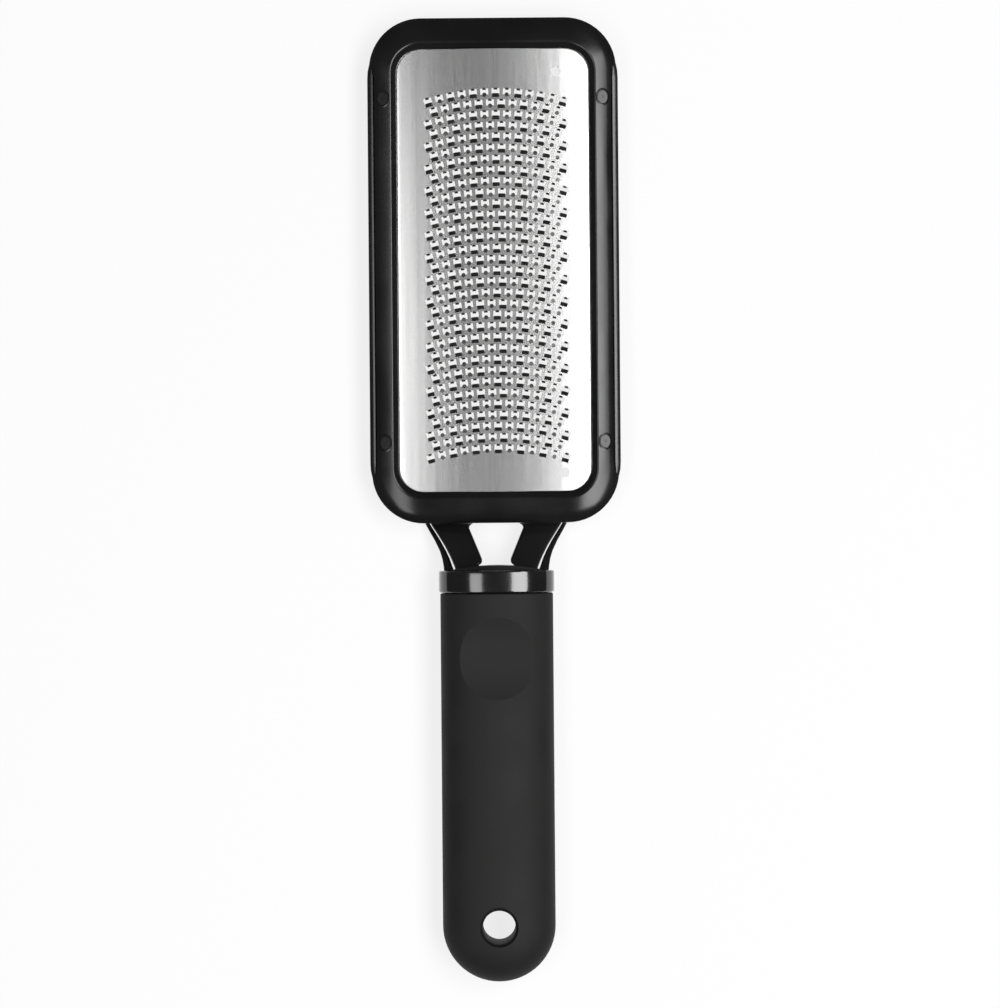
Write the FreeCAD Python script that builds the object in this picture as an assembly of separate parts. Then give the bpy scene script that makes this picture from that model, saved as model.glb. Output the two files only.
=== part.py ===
import FreeCAD, Part
import math
import os

# Foot file, lying on its back: X across, Y from the handle's end to the head's tip, Z up out of the rasp face.
# The origin is the middle of the footprint, on the plane that the back rests on. Lengths are in millimetres.

# Handle
grip_length = 105.0
grip_width = 30.4
grip_thickness = 17.5
grip_side_radius = 7.2
grip_rim_chamfer = 0.5
end_bevels = 2
end_bevel_degrees = 30.0
hang_hole_diameter = 8.8
thumb_dish_diameter = 22.6
thumb_dish_inset = 17.6
core_length = 78.0
grip_side_wall = 4.2
grip_face_wall = 4.45
bond_gap = 0.05

# Collar and the crowned plug inside it
collar_length = 5.9
collar_proud = 0.4
collar_edge_chamfer = 0.4
collar_side_wall = 3.6
collar_face_wall = 3.95
crown_height = 1.45
crown_radius = 60.0

# Forked neck
neck_length = 12.7
neck_root_width = 37.8
neck_waist_inset = 1.4
neck_flange_width = 2.9
neck_window_root_width = 16.4
neck_window_waist_width = 7.2
neck_root_overlap = 5.0
neck_root_underside = 0.8
neck_root_flange_top = 3.6
neck_waist_underside = 5.6
neck_waist_flange_top = 9.2
neck_waist_top = 12.7
neck_heel_round = 1.3
tang_inner = 4.6
tang_side_wall = 1.6
tang_thickness = 5.4
tang_depth = 24.0
tang_root = 1.0
tang_gap = 0.1

# Head
head_length = 136.4
head_width = 66.8
head_corner_radius = 14.0
side_rail_width = 7.4
end_rail_width = 8.6
opening_corner_radius = 6.8
opening_draft_degrees = 10.0
split_height = 6.0
wall_height = 7.8
shoulder_height = 10.2
front_height = 12.0
shoulder_inset = 1.4
shoulder_steps = 2
crest_chamfer = 1.0
back_edge_bevel = 1.2
ledge_width = 1.5
pocket_gap = 0.1
seat_gap = 0.05

# Side lips of the back frame
lip_end_margin = 12.35
lip_width = 1.7
lip_proud = 0.4
lip_top = 9.6
lip_slope_drop = 0.5
lip_edge_bevel = 0.5
lip_end_taper = 4.0
lip_end_inset = 1.0
lip_gap = 0.15

# Pins through the two frames
pin_inset = 4.05
pin_end_margin = 21.85
pin_head_diameter = 4.4
pin_head_thickness = 0.4
pin_shank_width = 2.4
pin_foot_height = 1.2
pin_gap = 0.05

# Rasp plate
plate_thickness = 0.5
plate_recess = 1.6
plate_cover = 1.6
plate_roll_width = 5.6
plate_roll_radius = 24.0
locating_hole_diameter = 2.7
locating_hole_inset = 7.9
locating_hole_end_margin = 5.5

# Tooth field
tooth_rows = 33
tooth_columns = 13
field_side_margin = 7.7
field_end_margin = 11.6
field_offset = 0.8  # the field sits a little to the right of the middle, as in the photo
row_bow_radius = 67.0
column_bar_width = 0.9
row_bar_width = 1.4
tooth_reach = 0.75
tooth_height = 0.7

# Every cut runs this far past what it cuts
overrun = 4.0

# Places that follow from the sizes above
overall_length = grip_length + collar_length + neck_length + head_length
grip_end = -overall_length / 2
hang_hole_y = grip_end + grip_width / 2
grip_top = grip_end + grip_length
collar_top = grip_top + collar_length
head_base = collar_top + neck_length
head_middle = head_base + head_length / 2
collar_half_width = grip_width / 2 + collar_proud
collar_half_thickness = grip_thickness / 2 + collar_proud
axis_height = collar_half_thickness
core_width = grip_width - 2 * grip_side_wall
core_thickness = grip_thickness - 2 * grip_face_wall
plug_width = 2 * (collar_half_width - collar_side_wall)
plug_thickness = 2 * (collar_half_thickness - collar_face_wall)
tang_width = core_width / 2 - tang_side_wall - tang_inner
opening_width = head_width - 2 * side_rail_width
opening_length = head_length - 2 * end_rail_width
roof_run = side_rail_width - crest_chamfer
lip_outer = head_width / 2 + lip_proud
lip_inner = lip_outer - lip_width
lip_length = head_length - 2 * lip_end_margin
plate_top = front_height - plate_recess
plate_width = opening_width + 2 * plate_cover
plate_length = opening_length + 2 * plate_cover
plate_corner_radius = opening_corner_radius + plate_cover
row_pitch = (opening_length - 2 * field_end_margin) / (tooth_rows - 1)
column_pitch = (opening_width - 2 * field_side_margin) / (tooth_columns - 1)
tooth_hole_width = column_pitch - column_bar_width
tooth_hole_height = row_pitch - row_bar_width


def at(x, y, z):
    return FreeCAD.Vector(x, y, z)


def line(start, end):
    return Part.LineSegment(start, end).toShape()


def polygon(points):
    return Part.Face(Part.makePolygon(points + points[:1]))


# Rounded rectangle about the middle of the head, at height z
def head_outline(width, length, radius, z):
    edges = []
    reach_x = width / 2 - radius
    reach_y = length / 2 - radius
    bow = radius * math.sqrt(0.5)
    signs = [(1, 1), (-1, 1), (-1, -1), (1, -1)]
    for index, (sx, sy) in enumerate(signs):
        middle = at(sx * reach_x, head_middle + sy * reach_y, z)
        across = middle + at(sx * radius, 0, 0)
        along = middle + at(0, sy * radius, 0)
        first, last = (across, along) if sx == sy else (along, across)
        edges.append(Part.Arc(first, middle + at(sx * bow, sy * bow, 0), last).toShape())
        next_x, next_y = signs[(index + 1) % len(signs)]
        following = at(next_x * reach_x, head_middle + next_y * reach_y, z)
        step = at(0, next_y * radius, 0) if sx != next_x else at(next_x * radius, 0, 0)
        edges.append(line(last, following + step))
    return Part.Wire(edges)


def head_prism(width, length, radius, low, high):
    return Part.Face(head_outline(width, length, radius, low)).extrude(at(0, 0, high - low))


# Radius of an oval's broad faces, tangent to its sides
def oval_face_radius(half_width, half_thickness, side_radius):
    inset = half_width - side_radius
    return (inset**2 + half_thickness**2 - side_radius**2) / (2 * (half_thickness - side_radius))


# Half an oval in the XZ plane at y, as three tangent arcs from the top of the axis round to its foot
def half_oval(half_width, half_thickness, side_radius, y):
    radius = oval_face_radius(half_width, half_thickness, side_radius)
    spread = math.atan2(half_width - side_radius, radius - half_thickness)

    def on_face(angle):
        return at(radius * math.sin(angle), y, half_thickness - radius * (1 - math.cos(angle)))

    def below(point):
        return at(point.x, y, axis_height - point.z)

    def above(point):
        return at(point.x, y, axis_height + point.z)

    side = at(half_width, y, axis_height)
    upper = Part.Arc(above(on_face(0)), above(on_face(spread / 2)), above(on_face(spread))).toShape()
    outer = Part.Arc(above(on_face(spread)), side, below(on_face(spread))).toShape()
    lower = Part.Arc(below(on_face(spread)), below(on_face(spread / 2)), below(on_face(0))).toShape()
    return [upper, outer, lower]


def oval_prism(half_width, half_thickness, side_radius, low, high):
    right = half_oval(half_width, half_thickness, side_radius, low)
    left = [e.mirror(at(0, low, 0), at(1, 0, 0)) for e in right]
    return Part.Face(Part.Wire(right + left[::-1])).extrude(at(0, high - low, 0))


# Everything under the plate's upper surface moved out by offset, as far across as half_width
def under_plate(offset, half_width):
    low = head_base - overrun
    flat = opening_width / 2 - plate_roll_width
    radius = plate_roll_radius + offset
    turn = math.asin((half_width - flat) / radius)

    def rolled(side, angle):
        drop = radius * math.cos(angle) - plate_roll_radius
        return at(side * (flat + radius * math.sin(angle)), low, plate_top + drop)

    def arc(side, angles):
        return Part.Arc(*[rolled(side, a) for a in angles]).toShape()

    edges = [
        line(rolled(-1, 0), rolled(1, 0)),
        arc(1, (0, turn / 2, turn)),
        line(rolled(1, turn), at(half_width, low, -overrun)),
        line(at(half_width, low, -overrun), at(-half_width, low, -overrun)),
        line(at(-half_width, low, -overrun), rolled(-1, turn)),
        arc(-1, (turn, turn / 2, 0)),
    ]
    return Part.Face(Part.Wire(edges)).extrude(at(0, head_length + 2 * overrun, 0))


# Rounded block about the middle of the head whose walls lean in by inset on their way up
def tapered_block(width, length, radius, low, high, inset):
    reach_x = width / 2 - radius
    reach_y = length / 2 - radius
    body = None
    for half, reach, turned in ((width / 2, reach_y, False), (length / 2, reach_x, True)):
        section = [(-half, low), (half, low), (half - inset, high), (inset - half, high)]
        if turned:
            points = [at(-reach, head_middle + u, z) for u, z in section]
            slab = polygon(points).extrude(at(2 * reach, 0, 0))
        else:
            points = [at(u, head_middle - reach, z) for u, z in section]
            slab = polygon(points).extrude(at(0, 2 * reach, 0))
        body = slab if body is None else body.fuse(slab)
    for sx in (-1, 1):
        for sy in (-1, 1):
            place = at(sx * reach_x, head_middle + sy * reach_y, low)
            body = body.fuse(Part.makeCone(radius, radius - inset, high - low, place))
    return body.removeSplitter()


# The opening of the front frame widens towards the front by its draft, and by a chamfer at its crest
def opening_cutter():
    lean = math.tan(math.radians(opening_draft_degrees))
    drop = lean * (plate_top - split_height + overrun)
    rise = lean * (front_height - plate_top + overrun)
    throat = tapered_block(
        opening_width - 2 * drop,
        opening_length - 2 * drop,
        opening_corner_radius - drop,
        split_height - overrun,
        front_height + overrun,
        -drop - rise,
    )
    crest = front_height - crest_chamfer
    spread = lean * (crest - plate_top)
    flare = tapered_block(
        opening_width + 2 * spread,
        opening_length + 2 * spread,
        opening_corner_radius + spread,
        crest,
        front_height + overrun,
        -crest_chamfer - overrun,
    )
    return throat.fuse(flare)


# Outer form of the front frame from its foot up: each height, and how far the walls have come in there
def front_levels():
    yield split_height, 0
    for step in range(shoulder_steps + 1):
        turn = math.pi / 2 * step / shoulder_steps
        rise = (shoulder_height - wall_height) * math.sin(turn)
        yield wall_height + rise, shoulder_inset * (1 - math.cos(turn))
    yield front_height, roof_run


# Block with the outline of the head whose walls go through the given levels
def head_block(levels):
    body = None
    for (low, inset), (high, next_inset) in zip(levels, levels[1:]):
        size = (head_width - 2 * inset, head_length - 2 * inset, head_corner_radius - inset, low, high)
        lean = next_inset - inset
        layer = tapered_block(*size, lean) if lean else head_prism(*size)
        body = layer if body is None else body.fuse(layer)
    return body.removeSplitter()


def front_body():
    return head_block(list(front_levels()))


def pin_places():
    for sx in (-1, 1):
        for sy in (-1, 1):
            yield sx * (head_width / 2 - pin_inset), head_middle + sy * (head_length / 2 - pin_end_margin)


def pin_shank(x, y, gap):
    width = pin_shank_width + 2 * gap
    corner = at(x - width / 2, y - width / 2, pin_foot_height - gap)
    return Part.makeBox(width, width, front_height + overrun, corner)


# A flat head that lies on the slope of the front frame
def pin_head(x, y):
    run = roof_run - shoulder_inset
    fall = front_height - shoulder_height
    height = shoulder_height + fall * (head_width / 2 - shoulder_inset - abs(x)) / run
    slope_normal = at(math.copysign(fall, x), 0, run)
    return Part.makeCylinder(pin_head_diameter / 2, pin_head_thickness, at(x, y, height), slope_normal)


def front_frame():
    ring = front_body().cut(opening_cutter())
    pocket_width = plate_width + 2 * pocket_gap
    pocket = head_prism(
        pocket_width,
        plate_length + 2 * pocket_gap,
        plate_corner_radius + pocket_gap,
        split_height - overrun,
        front_height,
    )
    ring = ring.cut(pocket.common(under_plate(seat_gap, pocket_width / 2)))
    notch_length = lip_length + 2 * lip_gap
    for side in (-1, 1):
        inner = side * (lip_inner - lip_gap)
        notch = Part.makeBox(
            overrun,
            notch_length,
            front_height,
            at(min(inner, inner + side * overrun), head_middle - notch_length / 2, split_height - overrun),
        )
        ring = ring.cut(notch)
    for x, y in pin_places():
        ring = ring.cut(pin_shank(x, y, pin_gap))
    return ring


def frame_pins():
    limit = head_block([(0, 0)] + list(front_levels())[1:])
    limit.translate(at(0, 0, pin_head_thickness / 2))
    return Part.makeCompound([pin_shank(x, y, 0).common(limit).fuse(pin_head(x, y)) for x, y in pin_places()])


# A lip's section, cut to a plan that tapers back to the head's side at both ends
def side_lip(side):
    low = head_middle - lip_length / 2
    high = head_middle + lip_length / 2
    brow = lip_top - lip_slope_drop
    section = [
        at(side * lip_inner, low, back_edge_bevel),
        at(side * lip_outer, low, back_edge_bevel),
        at(side * lip_outer, low, brow - lip_edge_bevel),
        at(side * (lip_outer - lip_edge_bevel), low, brow),
        at(side * lip_inner, low, lip_top),
    ]
    plan = [
        at(side * lip_inner, low, 0),
        at(side * (lip_outer - lip_end_inset), low, 0),
        at(side * lip_outer, low + lip_end_taper, 0),
        at(side * lip_outer, high - lip_end_taper, 0),
        at(side * (lip_outer - lip_end_inset), high, 0),
        at(side * lip_inner, high, 0),
    ]
    return polygon(section).extrude(at(0, lip_length, 0)).common(polygon(plan).extrude(at(0, 0, front_height)))


# One leg of the fork in plan, from under the head to the collar; trim takes the flange off its outer edge
def leg_plan(side, trim):
    root = neck_root_width / 2
    waist = collar_half_width - neck_waist_inset
    flare = (neck_length**2 + (root - waist) ** 2) / (2 * (root - waist))
    turn = math.asin(neck_length / flare) / 2
    root_inner = neck_window_root_width / 2
    waist_inner = neck_window_waist_width / 2
    deep = head_base + neck_root_overlap
    middle_x = waist + flare * (1 - math.cos(turn))
    middle_y = collar_top + flare * math.sin(turn)
    points = {
        "deep_inner": at(side * root_inner, deep, 0),
        "deep_outer": at(side * (root - trim), deep, 0),
        "root_outer": at(side * (root - trim), head_base, 0),
        "flare": at(side * (middle_x - trim), middle_y, 0),
        "waist_outer": at(side * (waist - trim), collar_top, 0),
        "waist_inner": at(side * waist_inner, collar_top, 0),
        "root_inner": at(side * root_inner, head_base, 0),
    }
    edges = [
        line(points["deep_inner"], points["deep_outer"]),
        line(points["deep_outer"], points["root_outer"]),
        Part.Arc(points["root_outer"], points["flare"], points["waist_outer"]).toShape(),
        line(points["waist_outer"], points["waist_inner"]),
        line(points["waist_inner"], points["root_inner"]),
        line(points["root_inner"], points["deep_inner"]),
    ]
    return Part.Face(Part.Wire(edges)).extrude(at(0, 0, front_height + overrun))


# Band of the side view between the underside of the neck and a top that rises from root to waist
def leg_side(root_top, waist_top):
    far = -head_width
    points = [
        at(far, head_base + neck_root_overlap, neck_root_underside),
        at(far, head_base, neck_root_underside),
        at(far, collar_top, neck_waist_underside),
        at(far, collar_top, waist_top),
        at(far, head_base, root_top),
        at(far, head_base + neck_root_overlap, root_top),
    ]
    return polygon(points).extrude(at(2 * head_width, 0, 0))


def leg(side):
    flange = leg_plan(side, 0).common(leg_side(neck_root_flange_top, neck_waist_flange_top))
    beam = leg_plan(side, neck_flange_width).common(leg_side(split_height, neck_waist_top))
    body = flange.fuse(beam)
    heel = [
        e
        for e in body.Edges
        if abs(e.CenterOfMass.y - collar_top) < seat_gap
        and e.BoundBox.XLength < seat_gap
        and abs(e.CenterOfMass.x) < tang_inner
    ]
    body = body.makeFillet(neck_heel_round, heel).cut(core_plug(bond_gap))
    return body.fuse(tang(side, 0))


def tang(side, gap):
    low = grip_top - tang_depth - gap
    width = tang_width + 2 * gap
    thickness = tang_thickness + 2 * gap
    middle = side * (tang_inner + tang_width / 2)
    corner = at(middle - width / 2, low, axis_height - thickness / 2)
    return Part.makeBox(width, collar_top + tang_root - low, thickness, corner)


def back_frame():
    body = head_block([(0, back_edge_bevel), (back_edge_bevel, 0), (split_height, 0)])
    ledge = head_prism(plate_width, plate_length, plate_corner_radius, back_edge_bevel, plate_top)
    body = body.fuse(ledge.common(under_plate(-plate_thickness - seat_gap, plate_width / 2)))
    for side in (-1, 1):
        body = body.fuse(side_lip(side))
        body = body.fuse(leg(side))
    body = body.cut(
        head_prism(
            opening_width - 2 * ledge_width,
            opening_length - 2 * ledge_width,
            opening_corner_radius,
            -overrun,
            front_height,
        )
    )
    for x, y in pin_places():
        body = body.cut(pin_shank(x, y, pin_gap))
    return body.removeSplitter()


def hole_places():
    for row in range(tooth_rows):
        count = tooth_columns - row % 2
        middle = head_middle + (tooth_rows - 1 - 2 * row) / 2 * row_pitch
        for column in range(count):
            x = (2 * column - count + 1) / 2 * column_pitch
            yield x, middle, (-1) ** column


# Walls of one hole and the tooth on its root edge. The hole is turned to follow the bowed row; way is the
# direction the tooth points along the handle. The loops at the plate's two surfaces come back with the faces.
def toothed_hole(x, row_y, way, bow_share):
    lean = -math.asin(x / row_bow_radius)
    sag = row_bow_radius * (1 - math.cos(lean) - bow_share)
    half_width = way * tooth_hole_width / 2
    half_height = way * tooth_hole_height / 2

    def place(u, v, z):
        return at(
            field_offset + x + u * math.cos(lean) - v * math.sin(lean),
            row_y - sag + u * math.sin(lean) + v * math.cos(lean),
            z,
        )

    plan = [(-1, -1), (1, -1), (1, 1), (-1, 1)]
    upper = [Part.Vertex(place(u * half_width, v * half_height, plate_top)) for u, v in plan]
    lower = [Part.Vertex(place(u * half_width, v * half_height, plate_top - plate_thickness)) for u, v in plan]
    tip = Part.Vertex(place(0, way * tooth_reach - half_height, plate_top + tooth_height))
    corners = range(len(plan))
    after = [(k + 1) % len(plan) for k in corners]
    top_edges = [Part.Edge(upper[k], upper[after[k]]) for k in corners]
    low_edges = [Part.Edge(lower[after[k]], lower[k]) for k in corners]
    rises = [Part.Edge(lower[k], upper[k]) for k in corners]
    ridges = {"u0": upper[0], "u1": upper[1], "l0": lower[0], "l1": lower[1]}
    ridges = {name: Part.Edge(vertex, tip) for name, vertex in ridges.items()}
    faces = []
    for k in corners[1:]:
        faces.append(Part.Face(Part.Wire([low_edges[k], rises[k], top_edges[k], rises[after[k]]])))
    flanks = [
        (low_edges[0], "l0", "l1"),
        (rises[0], "u0", "l0"),
        (top_edges[0], "u1", "u0"),
        (rises[1].reversed(), "l1", "u1"),
    ]
    for base, end, start in flanks:
        faces.append(Part.Face(Part.Wire([base, ridges[end], ridges[start]])))
    return faces, Part.Wire(top_edges).reversed(), Part.Wire(low_edges[::-1]).reversed()


def plate_blank():
    blank = head_prism(plate_width, plate_length, plate_corner_radius, 0, front_height)
    blank = blank.common(under_plate(0, plate_width / 2)).cut(under_plate(-plate_thickness, plate_width / 2))
    for sy in (-1, 1):
        reach = opening_length / 2 - locating_hole_end_margin
        place = at(opening_width / 2 - locating_hole_inset, head_middle + sy * reach, 0)
        blank = blank.cut(Part.makeCylinder(locating_hole_diameter / 2, front_height, place))
    return blank


def rasp_plate():
    half_field = (tooth_columns - 1) / 2 * column_pitch
    bow_share = (1 - math.sqrt(1 - (half_field / row_bow_radius) ** 2)) / 2
    faces = []
    loops = {plate_top: [], plate_top - plate_thickness: []}
    for x, row_y, way in hole_places():
        walls, top_loop, low_loop = toothed_hole(x, row_y, way, bow_share)
        faces.extend(walls)
        loops[plate_top].append(top_loop)
        loops[plate_top - plate_thickness].append(low_loop)
    for face in plate_blank().Faces:
        box = face.BoundBox
        level = [z for z in loops if max(abs(box.ZMin - z), abs(box.ZMax - z)) < seat_gap]
        if level:
            round_holes = [w for w in face.Wires if not w.isSame(face.OuterWire)]
            face = Part.Face([face.OuterWire] + round_holes + loops[level[0]])
        faces.append(face)
    return Part.Solid(Part.Shell(faces))


def collar():
    ring = oval_prism(
        collar_half_width, collar_half_thickness, grip_side_radius + collar_proud, grip_top, collar_top
    )
    rim = [e for e in ring.Edges if e.BoundBox.YMin > collar_top - seat_gap]
    ring = ring.makeChamfer(collar_edge_chamfer, rim)
    return ring.cut(axis_bar(plug_width, plug_thickness, bond_gap, grip_top - overrun, collar_top + overrun))


# Square-edged bar along the handle's axis, made larger all round by gap
def axis_bar(width, thickness, gap, low, high):
    half_width = width / 2 + gap
    half_thickness = thickness / 2 + gap
    corner = at(-half_width, low, axis_height - half_thickness)
    return Part.makeBox(2 * half_width, high - low, 2 * half_thickness, corner)


# The plug fills the collar and ends in a shallow crown between the legs
def core_plug(gap):
    crest = collar_top + crown_height + gap
    crown = Part.makeCylinder(crown_radius, 2 * axis_height, at(0, crest - crown_radius, 0))
    return axis_bar(plug_width, plug_thickness, gap, grip_top, crest).common(crown)


def core_bar(gap):
    return axis_bar(core_width, core_thickness, gap, grip_top - core_length - gap, grip_top)


def handle_core():
    core = core_bar(0).fuse(core_plug(0))
    for side in (-1, 1):
        core = core.cut(tang(side, tang_gap))
    return core


# Turned blank for the round end of the grip, with bevels that just clear the oval's sides
def end_blank():
    middle_y = hang_hole_y + seat_gap
    middle_x = grip_width / 2 - grip_side_radius
    stride = math.radians(end_bevel_degrees)
    reach = (grip_side_radius + seat_gap) / math.cos(stride / 2)
    turns = [stride * (2 * bevel + 1) / 2 for bevel in range(end_bevels)]
    flank = [(middle_x + reach * math.cos(turn), reach * math.sin(turn)) for turn in turns]
    last_x, last_z = flank[-1]
    crest = collar_half_thickness
    flank.append((last_x - (crest - last_z) * math.tan(stride * end_bevels), crest))
    profile = [(0, -crest)] + [(x, -z) for x, z in flank[::-1]] + flank + [(0, crest)]
    points = [at(x, middle_y, axis_height + z) for x, z in profile]
    return polygon(points).revolve(at(0, middle_y, 0), at(0, 0, 1), 360)


def grip_body():
    body = oval_prism(grip_width / 2, grip_thickness / 2, grip_side_radius, grip_end - overrun, grip_top)
    rim = [e for e in body.Edges if abs(e.CenterOfMass.y - grip_top) < seat_gap]
    body = body.makeChamfer(grip_rim_chamfer, [e for e in rim if e.BoundBox.YLength < seat_gap])
    corner = at(-grip_width, hang_hole_y + seat_gap, -overrun)
    straight = Part.makeBox(2 * grip_width, grip_length, 2 * axis_height + 2 * overrun, corner)
    return body.common(straight.fuse(end_blank()))


# A round cutter across the handle with the radius of the grip's face, so that what it leaves there is a circle
def thumb_dish():
    radius = oval_face_radius(grip_width / 2, grip_thickness / 2, grip_side_radius)
    depth = radius - math.sqrt(radius**2 - (thumb_dish_diameter / 2) ** 2)
    height = axis_height + grip_thickness / 2 - depth + radius
    middle = at(-grip_width, grip_top - thumb_dish_inset, height)
    return Part.makeCylinder(radius, 2 * grip_width, middle, at(1, 0, 0))


def grip_sleeve():
    sleeve = grip_body().cut(core_bar(bond_gap)).cut(thumb_dish())
    depth = 2 * axis_height + 2 * overrun
    return sleeve.cut(Part.makeCylinder(hang_hole_diameter / 2, depth, at(0, hang_hole_y, -overrun)))


nodes = {
    "rasp_plate": rasp_plate,
    "front_frame": front_frame,
    "back_frame": back_frame,
    "frame_pins": frame_pins,
    "collar": collar,
    "handle_core": handle_core,
    "grip_sleeve": grip_sleeve,
}

os.makedirs("parts", exist_ok=True)
for node, make in nodes.items():
    make().exportStep("parts/" + node + ".step")
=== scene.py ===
import math

import bmesh
import bpy
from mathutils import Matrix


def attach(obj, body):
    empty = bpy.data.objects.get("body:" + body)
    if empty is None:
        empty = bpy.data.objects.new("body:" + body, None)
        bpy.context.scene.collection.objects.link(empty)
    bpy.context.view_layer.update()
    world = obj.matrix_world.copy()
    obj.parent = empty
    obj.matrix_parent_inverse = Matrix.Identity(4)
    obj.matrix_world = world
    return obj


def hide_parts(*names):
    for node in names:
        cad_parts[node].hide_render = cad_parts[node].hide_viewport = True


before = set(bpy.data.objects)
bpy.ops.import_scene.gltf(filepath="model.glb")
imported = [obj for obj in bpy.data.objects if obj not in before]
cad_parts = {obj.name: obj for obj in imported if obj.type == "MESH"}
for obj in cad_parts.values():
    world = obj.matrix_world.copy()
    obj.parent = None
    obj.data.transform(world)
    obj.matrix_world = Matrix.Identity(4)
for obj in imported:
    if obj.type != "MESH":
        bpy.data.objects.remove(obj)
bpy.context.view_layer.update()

mm = 0.001
near = 0.01  # mm, places this close count as one
weld = 0.001  # mm, corners this close are joined
scene = bpy.context.scene

# camera, floor and lamps

shot = dict(
    middle=(1.1, -1.25),  # mm, where the picture's middle falls on the object
    height=1.01,
    lens=132.5,
    roll=-0.47,
    sensor=36,
    clip=0.05,
)
floorLook = dict(span=12.0, colour=(0.95, 0.95, 0.95, 1), white=0.8)
lamps = [
    dict(name="rightSoftbox", tilt=23.75, reach=1.25, along=-0.1, width=0.45, length=1.3, level=7.5),
    dict(name="leftSoftbox", tilt=-20.3, reach=1.25, along=-0.35, width=0.31, length=1.2, level=4.1),
]
ambient = 0.08


def deselect():
    if bpy.context.mode != "OBJECT":
        bpy.ops.object.mode_set(mode="OBJECT")
    bpy.ops.object.select_all(action="DESELECT")


def setUpShot():
    deselect()
    bpy.ops.object.camera_add(
        location=(shot["middle"][0] * mm, shot["middle"][1] * mm, shot["height"]),
        rotation=(0, 0, math.radians(shot["roll"])),
    )
    camera = bpy.context.object
    camera.data.lens = shot["lens"]
    camera.data.sensor_width = shot["sensor"]
    camera.data.clip_start = shot["clip"]
    scene.camera = camera
    scene.view_settings.view_transform = "Standard"

    world = bpy.data.worlds.new("dimRoom")
    world.use_nodes = True
    world.node_tree.nodes["Background"].inputs["Color"].default_value = (ambient, ambient, ambient, 1)
    scene.world = world

    for lamp in lamps:
        turn = math.radians(lamp["tilt"])
        bpy.ops.object.light_add(
            type="AREA",
            location=(lamp["reach"] * math.sin(turn), lamp["along"], lamp["reach"] * math.cos(turn)),
            rotation=(0, turn, 0),
        )
        light = bpy.context.object
        light.name = lamp["name"]
        light.data.shape = "RECTANGLE"
        light.data.size = lamp["width"]
        light.data.size_y = lamp["length"]
        light.data.energy = lamp["level"] * math.pi * lamp["width"] * lamp["length"]


def setUpFloor():
    deselect()
    bpy.ops.mesh.primitive_plane_add(size=floorLook["span"], location=(0, 0, 0))
    floor = bpy.context.object
    floor.name = "paleFloor"
    paint = bpy.data.materials.new("paleFloor")
    paint.use_nodes = True
    nodes, links = paint.node_tree.nodes, paint.node_tree.links
    nodes.clear()
    out = nodes.new("ShaderNodeOutputMaterial")
    mix = nodes.new("ShaderNodeMixShader")
    matte = nodes.new("ShaderNodeBsdfDiffuse")
    glow = nodes.new("ShaderNodeEmission")
    path = nodes.new("ShaderNodeLightPath")
    seen = nodes.new("ShaderNodeMath")
    seen.operation = "MAXIMUM"
    shown = nodes.new("ShaderNodeMath")
    shown.operation = "MAXIMUM"
    share = nodes.new("ShaderNodeMath")
    share.operation = "MULTIPLY"
    share.inputs[1].default_value = floorLook["white"]
    matte.inputs["Color"].default_value = floorLook["colour"]
    glow.inputs["Color"].default_value = (1, 1, 1, 1)
    links.new(path.outputs["Is Camera Ray"], seen.inputs[0])
    links.new(path.outputs["Is Glossy Ray"], seen.inputs[1])
    links.new(seen.outputs[0], shown.inputs[0])
    links.new(path.outputs["Is Transmission Ray"], shown.inputs[1])
    links.new(shown.outputs[0], share.inputs[0])
    links.new(share.outputs[0], mix.inputs["Fac"])
    links.new(matte.outputs[0], mix.inputs[1])
    links.new(glow.outputs[0], mix.inputs[2])
    links.new(mix.outputs[0], out.inputs["Surface"])
    floor.data.materials.append(paint)


setUpShot()
setUpFloor()
print("camera, lamps and floor set")

# materials

finishes = dict(
    satinSteel=dict(
        stretch=(900, 16, 900), grain=2.0, patch=1.1, dark=(0.66, 0.66, 0.66, 1), light=(0.70, 0.70, 0.695, 1),
        rough=(0.22, 0.24), bump=0.05, depth=0.00002, metallic=1.0, ior=1.5, coat=0.0,
    ),
    # teeth: the same steel as the sheet, coloured far darker as painted shade so they show as dark dashes
    toothSteelPaintedShade=dict(
        stretch=(900, 900, 900), grain=2.0, patch=0.5, dark=(0.17, 0.17, 0.17, 1), light=(0.26, 0.26, 0.26, 1),
        rough=(0.16, 0.24), bump=0.05, depth=0.00002, metallic=1.0, ior=1.5, coat=0.0,
    ),
    glossBlack=dict(
        stretch=(1000, 1000, 1000), grain=1.6, patch=0.06,
        dark=(0.006, 0.006, 0.0062, 1), light=(0.0095, 0.0095, 0.0095, 1),
        rough=(0.15, 0.24), bump=0.05, depth=0.00003, metallic=0.0, ior=1.5, coat=0.0,
    ),
    polishedBlack=dict(
        stretch=(1000, 1000, 1000), grain=0.5, patch=0.08,
        dark=(0.005, 0.005, 0.0052, 1), light=(0.008, 0.008, 0.008, 1),
        rough=(0.11, 0.16), bump=0.06, depth=0.00003, metallic=0.0, ior=1.5, coat=1.0,
    ),
    softGrip=dict(
        stretch=(1000, 1000, 1000), grain=3.2, patch=0.07,
        dark=(0.0105, 0.0105, 0.0108, 1), light=(0.0142, 0.0142, 0.0139, 1),
        rough=(0.58, 0.70), bump=0.35, depth=0.00005, metallic=0.0, ior=1.33, coat=0.0,
    ),
)

grainLook = dict(fineDetail=3, broadDetail=4, toneSpan=(0.35, 0.65), glossSpan=(0.3, 0.7), coatRough=0.1)


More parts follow.
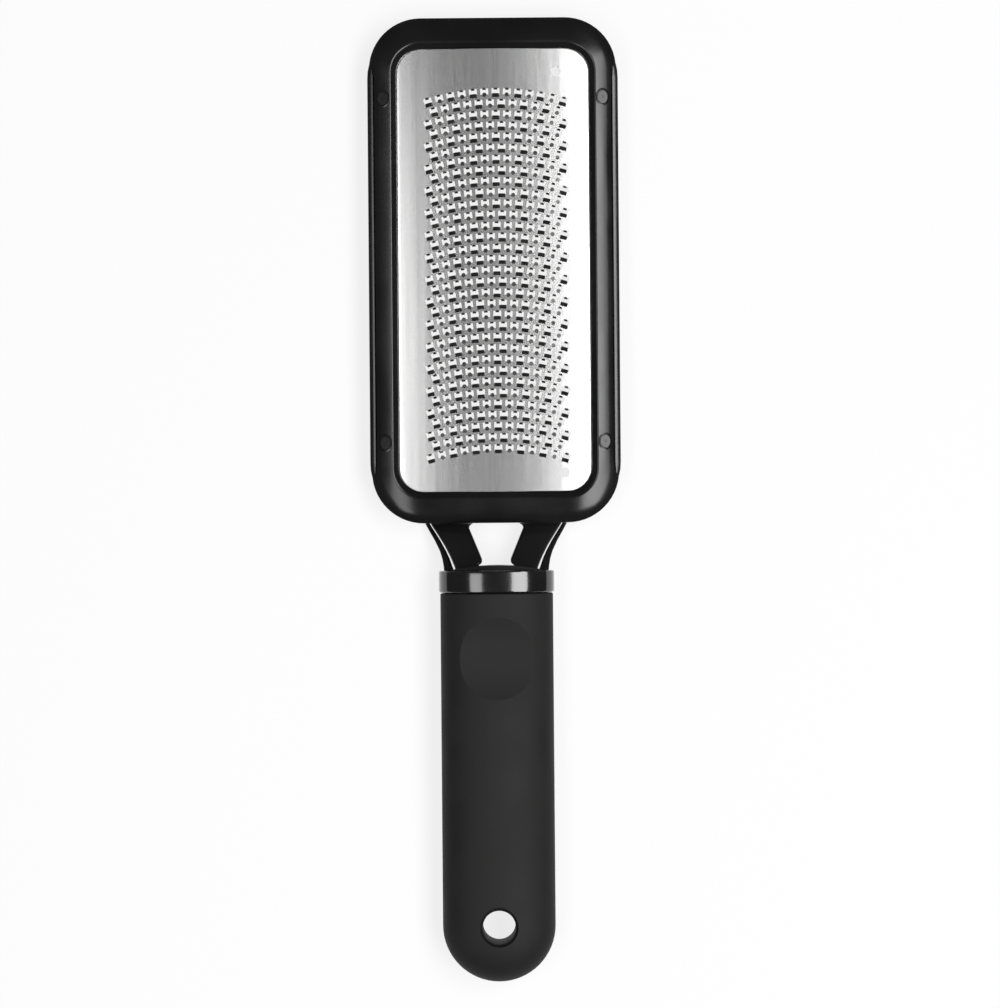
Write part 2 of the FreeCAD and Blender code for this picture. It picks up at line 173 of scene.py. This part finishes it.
def makeGrainGroup():
    group = bpy.data.node_groups.new("surfaceGrain", "ShaderNodeTree")
    sockets = group.interface
    sockets.new_socket("Vector", in_out="INPUT", socket_type="NodeSocketVector")
    sockets.new_socket("Grain Scale", in_out="INPUT", socket_type="NodeSocketFloat")
    sockets.new_socket("Patch Scale", in_out="INPUT", socket_type="NodeSocketFloat")
    sockets.new_socket("Grain", in_out="OUTPUT", socket_type="NodeSocketFloat")
    sockets.new_socket("Patches", in_out="OUTPUT", socket_type="NodeSocketFloat")
    nodes, links = group.nodes, group.links
    start = nodes.new("NodeGroupInput")
    end = nodes.new("NodeGroupOutput")
    fine = nodes.new("ShaderNodeTexNoise")
    fine.inputs["Detail"].default_value = grainLook["fineDetail"]
    broad = nodes.new("ShaderNodeTexNoise")
    broad.inputs["Detail"].default_value = grainLook["broadDetail"]
    links.new(start.outputs["Vector"], fine.inputs["Vector"])
    links.new(start.outputs["Vector"], broad.inputs["Vector"])
    links.new(start.outputs["Grain Scale"], fine.inputs["Scale"])
    links.new(start.outputs["Patch Scale"], broad.inputs["Scale"])
    links.new(fine.outputs["Fac"], end.inputs["Grain"])
    links.new(broad.outputs["Fac"], end.inputs["Patches"])
    return group


def makeFinish(name, look, grainGroup):
    material = bpy.data.materials.new(name)
    material.use_nodes = True
    nodes, links = material.node_tree.nodes, material.node_tree.links
    shader = nodes["Principled BSDF"]
    where = nodes.new("ShaderNodeTexCoord")
    spread = nodes.new("ShaderNodeMapping")
    spread.inputs["Scale"].default_value = look["stretch"]
    grain = nodes.new("ShaderNodeGroup")
    grain.node_tree = grainGroup
    grain.inputs["Grain Scale"].default_value = look["grain"]
    grain.inputs["Patch Scale"].default_value = look["patch"]
    tone = nodes.new("ShaderNodeValToRGB")
    tone.color_ramp.elements[0].position = grainLook["toneSpan"][0]
    tone.color_ramp.elements[0].color = look["dark"]
    tone.color_ramp.elements[1].position = grainLook["toneSpan"][1]
    tone.color_ramp.elements[1].color = look["light"]
    gloss = nodes.new("ShaderNodeMapRange")
    gloss.inputs["From Min"].default_value = grainLook["glossSpan"][0]
    gloss.inputs["From Max"].default_value = grainLook["glossSpan"][1]
    gloss.inputs["To Min"].default_value = look["rough"][0]
    gloss.inputs["To Max"].default_value = look["rough"][1]
    bump = nodes.new("ShaderNodeBump")
    bump.inputs["Strength"].default_value = look["bump"]
    bump.inputs["Distance"].default_value = look["depth"]
    links.new(where.outputs["Object"], spread.inputs["Vector"])
    links.new(spread.outputs["Vector"], grain.inputs["Vector"])
    links.new(grain.outputs["Patches"], tone.inputs["Fac"])
    links.new(tone.outputs["Color"], shader.inputs["Base Color"])
    links.new(grain.outputs["Patches"], gloss.inputs["Value"])
    links.new(gloss.outputs["Result"], shader.inputs["Roughness"])
    links.new(grain.outputs["Grain"], bump.inputs["Height"])
    links.new(bump.outputs["Normal"], shader.inputs["Normal"])
    shader.inputs["Metallic"].default_value = look["metallic"]
    shader.inputs["IOR"].default_value = look["ior"]
    shader.inputs["Coat Weight"].default_value = look["coat"]
    shader.inputs["Coat Roughness"].default_value = grainLook["coatRough"]
    return material


grainGroup = makeGrainGroup()
paints = {name: makeFinish(name, look, grainGroup) for name, look in finishes.items()}
print("finishes made:", ", ".join(paints))

# small tools; pieces are drawn in millimetres and shrunk to metres when they are done


def beginEdit(piece, kind="FACE"):
    deselect()
    bpy.context.view_layer.objects.active = piece
    piece.select_set(True)
    bpy.ops.object.mode_set(mode="EDIT")
    bpy.ops.mesh.select_mode(type=kind)
    bpy.ops.mesh.select_all(action="SELECT")


def endEdit():
    bpy.ops.object.mode_set(mode="OBJECT")


# selects what passes the test: by place for corners, by middle for edges and faces
def pick(piece, kind, test):
    bpy.ops.mesh.select_mode(type=kind)
    bpy.ops.mesh.select_all(action="DESELECT")
    mesh = bmesh.from_edit_mesh(piece.data)
    if kind == "VERT":
        for corner in mesh.verts:
            corner.select_set(test(corner.co))
    elif kind == "EDGE":
        for edge in mesh.edges:
            edge.select_set(test((edge.verts[0].co + edge.verts[1].co) / 2))
    else:
        for face in mesh.faces:
            face.select_set(test(face.calc_center_median()))
    mesh.select_flush_mode()
    bmesh.update_edit_mesh(piece.data)


# scales what is selected about a point
def stretch(piece, factors, centre):
    mesh = bmesh.from_edit_mesh(piece.data)
    for corner in mesh.verts:
        if corner.select:
            corner.co = [c + (v - c) * f for v, f, c in zip(corner.co, factors, centre)]
    bmesh.update_edit_mesh(piece.data)


def settle(piece):
    deselect()
    bpy.context.view_layer.objects.active = piece
    piece.select_set(True)
    bpy.ops.object.transform_apply(location=True, rotation=True, scale=True)


def applyModifier(piece, kind, **values):
    deselect()
    bpy.context.view_layer.objects.active = piece
    piece.select_set(True)
    modifier = piece.modifiers.new(kind.lower(), kind)
    for name, value in values.items():
        setattr(modifier, name, value)
    bpy.ops.object.modifier_apply(modifier=modifier.name)


# bevels the edges that turn by more than an angle
def roundEdges(piece, width, segments, degrees):
    applyModifier(
        piece, "BEVEL", width=width, segments=segments, limit_method="ANGLE", angle_limit=math.radians(degrees)
    )


def cutAway(piece, cutter):
    applyModifier(piece, "BOOLEAN", operation="DIFFERENCE", object=cutter, solver="EXACT")
    bpy.data.objects.remove(cutter, do_unlink=True)


def joinAll(pieces):
    deselect()
    for piece in pieces:
        piece.select_set(True)
    bpy.context.view_layer.objects.active = pieces[0]
    bpy.ops.object.join()
    return pieces[0]


def copyPiece(piece, place=(0, 0, 0), turn=0.0):
    twin = piece.copy()
    twin.data = piece.data.copy()
    scene.collection.objects.link(twin)
    twin.location = place
    twin.rotation_euler = (0, 0, turn)
    return twin


def faceOutwards(piece):
    beginEdit(piece)
    bpy.ops.mesh.remove_doubles(threshold=weld)
    bpy.ops.mesh.select_all(action="SELECT")
    bpy.ops.mesh.normals_make_consistent(inside=False)
    endEdit()


def finishPiece(piece, name, finish, nodes, sharpAngle=30):
    piece.name = name
    piece.data.name = name
    piece.scale = (mm, mm, mm)
    settle(piece)
    bpy.ops.object.shade_smooth_by_angle(angle=math.radians(sharpAngle))
    if not piece.data.materials:
        piece.data.materials.append(paints[finish])
    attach(piece, "root")
    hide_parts(*nodes)
    print(name, "done,", len(piece.data.polygons), "faces")


# a flat sheet with round corners, lying at a height
def roundedSheet(width, length, radius, steps, middle, height):
    deselect()
    bpy.ops.mesh.primitive_plane_add(size=1, location=(0, middle, height))
    sheet = bpy.context.object
    sheet.scale = (width, length, 1)
    settle(sheet)
    beginEdit(sheet, "VERT")
    bpy.ops.mesh.bevel(offset=radius, offset_type="ABSOLUTE", segments=steps, affect="VERTICES")
    endEdit()
    return sheet


# a flat oval face standing across the handle
def ovalFace(oval, y):
    deselect()
    bpy.ops.curve.primitive_bezier_circle_add(radius=1, location=(0, 0, 0))
    curve = bpy.context.object
    curve.data.resolution_u = oval["steps"]
    for point in curve.data.splines[0].bezier_points:
        point.handle_left_type = "FREE"
        point.handle_right_type = "FREE"
        onSide = abs(point.co.x) > 0.5
        ends = (point.handle_left.copy(), point.handle_right.copy())
        if onSide:
            side = math.copysign(oval["halfWidth"], point.co.x)
            point.co = (side, 0, 0)
            point.handle_left = (side, math.copysign(oval["sidePull"], ends[0].y), 0)
            point.handle_right = (side, math.copysign(oval["sidePull"], ends[1].y), 0)
        else:
            face = math.copysign(oval["halfThick"], point.co.y)
            point.co = (0, face, 0)
            point.handle_left = (math.copysign(oval["facePull"], ends[0].x), face, 0)
            point.handle_right = (math.copysign(oval["facePull"], ends[1].x), face, 0)
    bpy.ops.object.convert(target="MESH")
    loop = bpy.context.object
    loop.rotation_euler = (math.pi / 2, 0, 0)
    loop.location = (0, y, oval["axis"])
    settle(loop)
    beginEdit(loop, "EDGE")
    bpy.ops.mesh.remove_doubles(threshold=weld)
    bpy.ops.mesh.select_all(action="SELECT")
    bpy.ops.mesh.edge_face_add()
    endEdit()
    return loop


def pushFace(x, y, z):
    bpy.ops.mesh.extrude_region_move(TRANSFORM_OT_translate={"value": (x, y, z)})


# opens the big flat face that lies at a height in the middle of a ring
def openMiddle(ring, middle, height):
    def inMiddle(place):
        return math.hypot(place.x, place.y - middle) < 1 and abs(place.z - height) < near

    pick(ring, "FACE", inMiddle)
    bpy.ops.mesh.delete(type="ONLY_FACE")


# pulls a rounded sheet up into a wall and draws its top in, ring by ring; it stays open for editing
def drawIn(ring):
    sheet = roundedSheet(
        ring["width"], ring["length"], ring["corner"], ring["cornerSteps"], ring["middle"], ring["low"]
    )
    beginEdit(sheet)
    pushFace(0, 0, ring["wall"] - ring["low"])
    inset, height = 0.0, ring["wall"]
    for nextInset, nextHeight in ring["rings"]:
        step = nextInset - inset
        bpy.ops.mesh.inset(thickness=step, depth=nextHeight - height)
        longSide = ring["length"] / 2 - inset * ring["endShare"]
        squeeze = (longSide - step * ring["endShare"]) / (longSide - step)
        stretch(sheet, (1, squeeze, 1), (0, ring["middle"], 0))
        inset, height = nextInset, nextHeight
    return sheet, inset, height


# rasp plate

plate = dict(
    width=55.2, length=122.4, corner=8.4, cornerSteps=8, middle=61.8, top=10.4, thickness=0.5,
    crown=300.0, rollStart=25.2, rollRadius=9.0, rollSteps=(25.5, 25.8, 26.1, 26.5, 27.6), cutStep=3.0, cuts=8,
    rows=33, columns=13, rowPitch=3.0, columnPitch=3.05, bow=67.0, shift=0.8, rise=0.2, fieldMiddle=61.8,
    hole=(2.15, 1.6), punchDepth=4, sink=0.05, toothRound=0.3,
    lipTop=0.62, lipFoot=1.0, lipRun=1.08, lipHeight=0.66, lipReach=0.22,
    prickTop=0.35, prickFoot=0.5, prickRun=0.5, prickHeight=0.3, prickGap=0.12,
    tongueRadius=0.58, tongueRise=0.03, tongueThick=0.3, tongueSteps=12,
    roundHoles=((17.0, 115.2), (18.5, 7.2)), roundRadius=1.35, roundSteps=24,
)


# a ramp pushed up behind a hole: high at the hole, down to the sheet towards the handle
def makeRamp(halfTop, halfFoot, run, height, edge):
    deselect()
    bpy.ops.mesh.primitive_cube_add(size=1, location=(0, edge - run / 2, plate["top"] + height / 2 - plate["sink"]))
    ramp = bpy.context.object
    ramp.scale = (2 * halfFoot, run, height + 2 * plate["sink"])
    settle(ramp)
    beginEdit(ramp)
    pick(ramp, "VERT", lambda place: place.z > plate["top"] and place.y < edge - near)
    bpy.ops.transform.translate(value=(0, 0, -height - plate["sink"]))
    pick(ramp, "VERT", lambda place: place.z > plate["top"])
    stretch(ramp, (halfTop / halfFoot, 1, 1), (0, edge, 0))
    bpy.ops.mesh.bevel(
        offset=plate["toothRound"] * halfTop, offset_type="ABSOLUTE", segments=2, affect="VERTICES"
    )
    endEdit()
    return ramp


# a flat tongue reaching into a hole from below
def makeTongue():
    edge, top = -plate["hole"][1] / 2 - plate["sink"], plate["top"] + plate["tongueRise"]
    deselect()
    bpy.ops.mesh.primitive_cylinder_add(
        vertices=plate["tongueSteps"], radius=plate["tongueRadius"], depth=plate["tongueThick"],
        location=(0, edge, top - plate["tongueThick"] / 2),
    )
    tongue = bpy.context.object
    settle(tongue)
    return tongue


def holePlaces():
    for row in range(plate["rows"]):
        count = plate["columns"] - row % 2
        rowY = plate["fieldMiddle"] + (plate["rows"] - 1 - 2 * row) / 2 * plate["rowPitch"]
        for column in range(count):
            x = (2 * column - count + 1) / 2 * plate["columnPitch"]
            lean = -math.asin(x / plate["bow"])
            sag = plate["bow"] * (1 - math.cos(lean)) - plate["rise"]
            yield x + plate["shift"], rowY - sag, lean, column % 2 == 0


def makePlate():
    sheet = roundedSheet(
        plate["width"], plate["length"], plate["corner"], plate["cornerSteps"], plate["middle"], plate["top"]
    )
    beginEdit(sheet)
    lines = [k * plate["cutStep"] for k in range(-plate["cuts"], plate["cuts"] + 1)]
    for edge in (plate["rollStart"],) + plate["rollSteps"][:-1]:
        lines += [edge, -edge]
    for x in lines:
        bpy.ops.mesh.select_all(action="SELECT")
        bpy.ops.mesh.bisect(plane_co=(x, 0, 0), plane_no=(1, 0, 0))
    fallen = 0.0
    for edge in plate["rollSteps"]:  # rolls the long edges down
        drop = (edge - plate["rollStart"]) ** 2 / (2 * plate["rollRadius"])
        pick(sheet, "VERT", lambda place: abs(place.x) > edge - near)
        bpy.ops.transform.translate(value=(0, 0, fallen - drop))
        fallen = drop
    endEdit()
    applyModifier(sheet, "SOLIDIFY", thickness=plate["thickness"], offset=-1)

    deselect()
    bpy.ops.mesh.primitive_cube_add(size=1, location=(0, 0, plate["top"]))
    punch = bpy.context.object
    punch.scale = (plate["hole"][0], plate["hole"][1], plate["punchDepth"])
    settle(punch)
    low, up = -plate["hole"][1] / 2 + plate["lipReach"], plate["hole"][1] / 2 + plate["prickGap"]
    lip = makeRamp(plate["lipTop"], plate["lipFoot"], plate["lipRun"], plate["lipHeight"], low)
    prick = makeRamp(plate["prickTop"], plate["prickFoot"], plate["prickRun"], plate["prickHeight"], up)
    tongue = makeTongue()
    punches, teeth = [], []
    for x, y, lean, raised in holePlaces():
        place = (x, y, 0)
        punches.append(copyPiece(punch, place, lean))
        teeth.append(copyPiece(lip if raised else tongue, place, lean))
        teeth.append(copyPiece(prick, place, lean))
    for x, y in plate["roundHoles"]:
        deselect()
        bpy.ops.mesh.primitive_cylinder_add(
            vertices=plate["roundSteps"], radius=plate["roundRadius"], depth=plate["punchDepth"],
            location=(x, y, plate["top"]),
        )
        punches.append(bpy.context.object)
    for pattern in (punch, lip, tongue, prick):
        bpy.data.objects.remove(pattern, do_unlink=True)
    cutter = joinAll(punches)
    settle(cutter)
    cutAway(sheet, cutter)
    sheet.data.materials.append(paints["satinSteel"])
    field = joinAll(teeth)
    settle(field)
    # the teeth get the darker steel colour, which is painted shade
    field.data.materials.append(paints["toothSteelPaintedShade"])
    joinAll([sheet, field])

    # the plate is slightly arched across
    hub = bpy.data.objects.new("hub", None)
    scene.collection.objects.link(hub)
    hub.location = (0, plate["middle"], plate["top"])
    hub.rotation_euler = (math.pi / 2, 0, 0)
    bpy.context.view_layer.update()
    applyModifier(
        sheet, "SIMPLE_DEFORM", deform_method="BEND", deform_axis="Z", origin=hub,
        angle=-plate["width"] / plate["crown"],
    )
    bpy.data.objects.remove(hub, do_unlink=True)
    finishPiece(sheet, "raspPlate", "satinSteel", ["rasp_plate"], 25)


makePlate()

# front frame: outline pulled up, then drawn in step by step over the crest and down to the plate

bezel = dict(
    width=66.8, length=136.4, corner=14.0, cornerSteps=14, middle=61.8, low=6.0, wall=7.8,
    rings=(
        (0.08, 9.4), (0.55, 9.82), (1.2, 10.28), (2.0, 10.68), (2.9, 10.99), (5.45, 11.66), (5.6, 11.69), (5.75, 11.68),
        (5.98, 11.63), (6.15, 11.52), (6.5, 11.2), (7.3, 10.47), (7.4, 10.2),
    ),
    endShare=8.6 / 7.4,
    notchInner=31.95, notchOuter=40, notchLow=4, notchTop=14, notchLength=112.0,
    taper=4.2, notchEnds=((0.5, 0.25, 0.0), (1.0, 1.25, 0.0)),
)


def block(low, high):
    deselect()
    bpy.ops.mesh.primitive_cube_add(size=1, location=[(a + b) / 2 for a, b in zip(low, high)])
    cube = bpy.context.object
    cube.scale = [b - a for a, b in zip(low, high)]
    settle(cube)
    return cube


# draws the ends of a side strip together in steps: share of the taper, move of the inner and of the outer edge
def taperEnds(strip, side, middle, half, taper, steps, inner, outer):
    beginEdit(strip)
    for end in (-1, 1):
        for share in [0] + [step[0] for step in steps[:-1]]:
            bpy.ops.mesh.select_all(action="SELECT")
            bpy.ops.mesh.bisect(plane_co=(0, middle + end * (half - taper * (1 - share)), 0), plane_no=(0, 1, 0))
    halfway = (inner + outer) / 2
    for share, innerMove, outerMove in steps:
        far = half - taper * (1 - share)

        def atStep(place):
            return abs(abs(place.y - middle) - far) < near

        pick(strip, "VERT", lambda place: atStep(place) and abs(place.x) < halfway)
        bpy.ops.transform.translate(value=(side * innerMove, 0, 0))
        pick(strip, "VERT", lambda place: atStep(place) and abs(place.x) > halfway)
        bpy.ops.transform.translate(value=(-side * outerMove, 0, 0))
    endEdit()


def makeBezel():
    ring, _, height = drawIn(bezel)
    pushFace(0, 0, bezel["low"] - height)
    openMiddle(ring, bezel["middle"], bezel["low"])
    bpy.ops.mesh.select_mode(type="EDGE")
    bpy.ops.mesh.select_non_manifold()
    bpy.ops.mesh.bridge_edge_loops()
    endEdit()
    faceOutwards(ring)
    middle, half = bezel["middle"], bezel["notchLength"] / 2
    inner, outer = bezel["notchInner"], bezel["notchOuter"]
    for side in (-1, 1):
        xs = sorted((side * inner, side * outer))
        notch = block((xs[0], middle - half, bezel["notchLow"]), (xs[1], middle + half, bezel["notchTop"]))
        taperEnds(notch, side, middle, half, bezel["taper"], bezel["notchEnds"], inner, outer)
        cutAway(ring, notch)
    finishPiece(ring, "frontFrame", "glossBlack", ["front_frame"], 28)


makeBezel()

# back frame: ring, plate ledge, side lips and forked neck

backRing = dict(
    width=66.8, length=136.4, corner=14.0, cornerSteps=14, middle=61.8, low=0.0, wall=4.5, split=6.0,
    rings=((0.2, 5.15), (0.6, 5.7), (1.3, 6.0), (8.3, 6.0), (8.7, 5.85), (8.9, 5.5)), endShare=1.12,
)
ledge = dict(top=8.3, widen=1.5)
lips = dict(
    inner=32.1, outer=33.8, low=2.0, top=9.9, drop=0.45, length=111.7, bevel=0.3, bevelFrom=40,
    taper=4.0, ends=((0.5, 0.22, 0.12), (1.0, 0.85, 0.55)),
)
legs = dict(
    beam=(
        (-2.0, 5.6, 17.8), (-6.4, 5.87, 17.75), (-6.75, 6.75, 17.55), (-7.15, 7.15, 17.3), (-7.7, 7.3, 16.95),
        (-9.5, 6.55, 15.75), (-12.45, 5.32, 13.92), (-15.0, 4.26, 12.6), (-16.1, 3.85, 12.1), (-16.8, 3.85, 11.8),
        (-17.3, 4.15, 11.6), (-17.7, 4.7, 11.42), (-19.6, 5.2, 10.75),
    ),
    fin=(
        (-2.0, 18.1, 20.2), (-6.4, 18.05, 19.25), (-8.5, 16.72, 18.1), (-11.0, 15.15, 16.65), (-13.9, 13.55, 15.25),
        (-16.0, 12.6, 14.6), (-18.0, 11.9, 14.25), (-19.6, 11.3, 14.1),
    ),
    under=(0.8, 5.6), beamTop=(6.0, 12.7), finTop=(3.6, 9.2), root=-6.4, waist=-19.1, beamBevel=0.85, finBevel=0.3,
    bevelFrom=50,
)


def makeBackRing():
    sheet, inset, height = drawIn(backRing)
    low = backRing["split"] - ledge["top"]
    pushFace(0, 0, low - height)
    openMiddle(sheet, backRing["middle"], low)
    openMiddle(sheet, backRing["middle"], backRing["low"])
    pick(sheet, "EDGE", lambda place: place.z < low + near)
    bpy.ops.mesh.extrude_edges_move()
    wide = backRing["width"] / 2 - inset
    long = backRing["length"] / 2 - inset * backRing["endShare"]
    wider = ((wide + ledge["widen"]) / wide, (long + ledge["widen"]) / long, 1)
    stretch(sheet, wider, (0, backRing["middle"], 0))
    bpy.ops.mesh.extrude_edges_move(TRANSFORM_OT_translate={"value": (0, 0, -low)})
    bpy.ops.mesh.select_all(action="DESELECT")
    bpy.ops.mesh.select_non_manifold()
    bpy.ops.mesh.bridge_edge_loops()
    bpy.ops.mesh.select_all(action="SELECT")  # turned over: the ring was drawn with its back up
    stretch(sheet, (1, 1, -1), (0, 0, backRing["split"] / 2))
    endEdit()
    faceOutwards(sheet)
    return sheet


def makeLip(side):
    half = lips["length"] / 2
    middle = backRing["middle"]
    xs = sorted((side * lips["inner"], side * lips["outer"]))
    strip = block((xs[0], middle - half, lips["low"]), (xs[1], middle + half, lips["top"]))
    beginEdit(strip)
    pick(strip, "VERT", lambda place: place.z > lips["top"] - near and abs(place.x) > lips["outer"] - near)
    bpy.ops.transform.translate(value=(0, 0, -lips["drop"]))
    endEdit()
    taperEnds(strip, side, middle, half, lips["taper"], lips["ends"], lips["inner"], lips["outer"])
    roundEdges(strip, lips["bevel"], 3, lips["bevelFrom"])
    return strip


# a bar drawn out section by section along the neck, on one side
def makeBar(sections, tops, side, bevel):
    def span(y):
        share = (legs["root"] - y) / (legs["root"] - legs["waist"])
        share = max(0, share)
        low = legs["under"][0] + share * (legs["under"][1] - legs["under"][0])
        return low, tops[0] + share * (tops[1] - tops[0])

    y, inner, outer = sections[0]
    low, top = span(y)
    deselect()
    bpy.ops.mesh.primitive_plane_add(
        size=1, location=(side * (inner + outer) / 2, y, (low + top) / 2), rotation=(math.pi / 2, 0, 0)
    )
    bar = bpy.context.object
    bar.scale = (outer - inner, top - low, 1)
    settle(bar)
    beginEdit(bar)
    for nextY, nextInner, nextOuter in sections[1:]:
        nextLow, nextTop = span(nextY)
        middle = (side * (nextInner + nextOuter) / 2, nextY, (nextLow + nextTop) / 2)
        pushFace(side * (nextInner + nextOuter - inner - outer) / 2, nextY - y, (nextLow + nextTop - low - top) / 2)
        stretch(bar, ((nextOuter - nextInner) / (outer - inner), 1, (nextTop - nextLow) / (top - low)), middle)
        y, inner, outer, low, top = nextY, nextInner, nextOuter, nextLow, nextTop
    bpy.ops.mesh.select_mode(type="EDGE")
    bpy.ops.mesh.select_all(action="DESELECT")
    bpy.ops.mesh.select_non_manifold()
    bpy.ops.mesh.edge_face_add()
    endEdit()
    faceOutwards(bar)
    roundEdges(bar, bevel, 4, legs["bevelFrom"])
    return bar


def makeBackFrame():
    pieces = [makeBackRing()]
    for side in (-1, 1):
        pieces.append(makeLip(side))
        pieces.append(makeBar(legs["beam"], legs["beamTop"], side, legs["beamBevel"]))
        pieces.append(makeBar(legs["fin"], legs["finTop"], side, legs["finBevel"]))
    finishPiece(joinAll(pieces), "backFrame", "glossBlack", ["back_frame"], 32)


makeBackFrame()

# pins: oval heads with a ring line and a small dimple

pins = dict(
    radius=2.4, narrow=0.8, steps=40, thick=1.2, x=29.6, ys=(15.45, 108.15), height=11.29, slope=14.7,
    rim=0.3, rimRise=0.06, ring=0.2, groove=0.16,
    dimpleRadius=0.4, dimpleWall=0.05, dimpleDepth=0.7,
)


def makePins():
    deselect()
    bpy.ops.mesh.primitive_cylinder_add(
        vertices=pins["steps"], radius=pins["radius"], depth=pins["thick"], location=(0, 0, -pins["thick"] / 2)
    )
    pin = bpy.context.object
    settle(pin)
    beginEdit(pin)
    pick(pin, "FACE", lambda place: place.z > -near)
    bpy.ops.mesh.inset(thickness=pins["rim"], depth=pins["rimRise"])
    bpy.ops.mesh.inset(thickness=pins["ring"], depth=-pins["groove"])
    bpy.ops.mesh.inset(thickness=pins["ring"], depth=pins["groove"])
    left = pins["radius"] - pins["rim"] - 2 * pins["ring"]
    bpy.ops.mesh.inset(thickness=left - pins["dimpleRadius"])
    bpy.ops.mesh.inset(thickness=pins["dimpleWall"], depth=-pins["dimpleDepth"])
    endEdit()
    pin.scale = (pins["narrow"], 1, 1)
    settle(pin)
    copies = []
    for side in (-1, 1):
        for y in pins["ys"]:
            twin = copyPiece(pin, (side * pins["x"], y, pins["height"]))
            twin.rotation_euler = (0, side * math.radians(pins["slope"]), 0)
            copies.append(twin)
    bpy.data.objects.remove(pin, do_unlink=True)
    row = joinAll(copies)
    settle(row)
    finishPiece(row, "framePins", "glossBlack", ["frame_pins"], 10)


makePins()

# collar

collar = dict(
    halfWidth=15.6, halfThick=9.15, sidePull=6.57, facePull=8.3, axis=9.15, steps=20,
    start=-25.0, length=5.9, bevel=0.5, bevelFrom=60,
)


def makeCollar():
    ring = ovalFace(collar, collar["start"])
    beginEdit(ring)
    bpy.ops.mesh.flip_normals()
    pushFace(0, collar["length"], 0)
    endEdit()
    faceOutwards(ring)
    beginEdit(ring)
    bpy.ops.mesh.select_mode(type="EDGE")
    bpy.ops.mesh.select_all(action="DESELECT")
    bpy.ops.mesh.select_non_manifold()
    bpy.ops.mesh.edge_face_add()
    endEdit()
    faceOutwards(ring)
    roundEdges(ring, collar["bevel"], 3, collar["bevelFrom"])
    finishPiece(ring, "collar", "polishedBlack", ["collar"], 30)


makeCollar()

# grip

grip = dict(
    halfWidth=15.2, halfThick=8.75, sidePull=6.28, facePull=7.48, axis=9.15, steps=20,
    start=-25.2, round=-114.8, turnSteps=32, seam=0.005, rim=0.4, bevelFrom=60,
    dishY=-42.7, dishRadius=34.0, dishLow=16.06, dishSpan=40, dishSteps=320,
    holeY=-114.8, holeSteps=48,
    holeRings=((4.4, 14.2), (4.5, 15.6), (4.72, 16.7), (5.0, 17.3), (5.35, 17.7), (5.9, 18.05)),
)


def makeGrip():
    body = ovalFace(grip, grip["start"])
    beginEdit(body)
    pushFace(0, grip["round"] - grip["start"], 0)
    bpy.ops.mesh.delete(type="ONLY_FACE")
    pick(body, "EDGE", lambda place: place.y < grip["round"] + near and place.x > 0)
    bpy.ops.mesh.spin(
        steps=grip["turnSteps"], angle=math.pi, center=(0, grip["round"], grip["axis"]), axis=(0, 0, 1)
    )
    bpy.ops.mesh.select_all(action="SELECT")
    bpy.ops.mesh.remove_doubles(threshold=grip["seam"])
    bpy.ops.mesh.select_mode(type="EDGE")
    bpy.ops.mesh.select_all(action="DESELECT")
    bpy.ops.mesh.select_non_manifold()
    bpy.ops.mesh.edge_face_add()
    endEdit()
    faceOutwards(body)
    roundEdges(body, grip["rim"], 2, grip["bevelFrom"])

    deselect()
    bpy.ops.mesh.primitive_cylinder_add(
        vertices=grip["dishSteps"], radius=grip["dishRadius"], depth=grip["dishSpan"], rotation=(0, math.pi / 2, 0),
        location=(0, grip["dishY"], grip["dishLow"] + grip["dishRadius"]),
    )
    dish = bpy.context.object
    settle(dish)
    cutAway(body, dish)

    # hanging hole, with a softly flared mouth at both ends
    deselect()
    radius, height = grip["holeRings"][0]
    bpy.ops.mesh.primitive_cylinder_add(
        vertices=grip["holeSteps"], radius=radius, depth=2 * (height - grip["axis"]),
        location=(0, grip["holeY"], grip["axis"]),
    )
    bore = bpy.context.object
    settle(bore)
    beginEdit(bore)
    for way in (-1, 1):
        radius, height = grip["holeRings"][0]
        pick(bore, "FACE", lambda place: (place.z - grip["axis"]) * way > height - grip["axis"] - near)
        for nextRadius, nextHeight in grip["holeRings"][1:]:
            pushFace(0, 0, way * (nextHeight - height))
            stretch(bore, (nextRadius / radius, nextRadius / radius, 1), (0, grip["holeY"], 0))
            radius, height = nextRadius, nextHeight
    endEdit()
    cutAway(body, bore)
    finishPiece(body, "grip", "softGrip", ["grip_sleeve"], 14)


makeGrip()

# core: its crowned plug shows between the legs of the fork
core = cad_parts["handle_core"]
core.data.materials.clear()
core.data.materials.append(paints["glossBlack"])
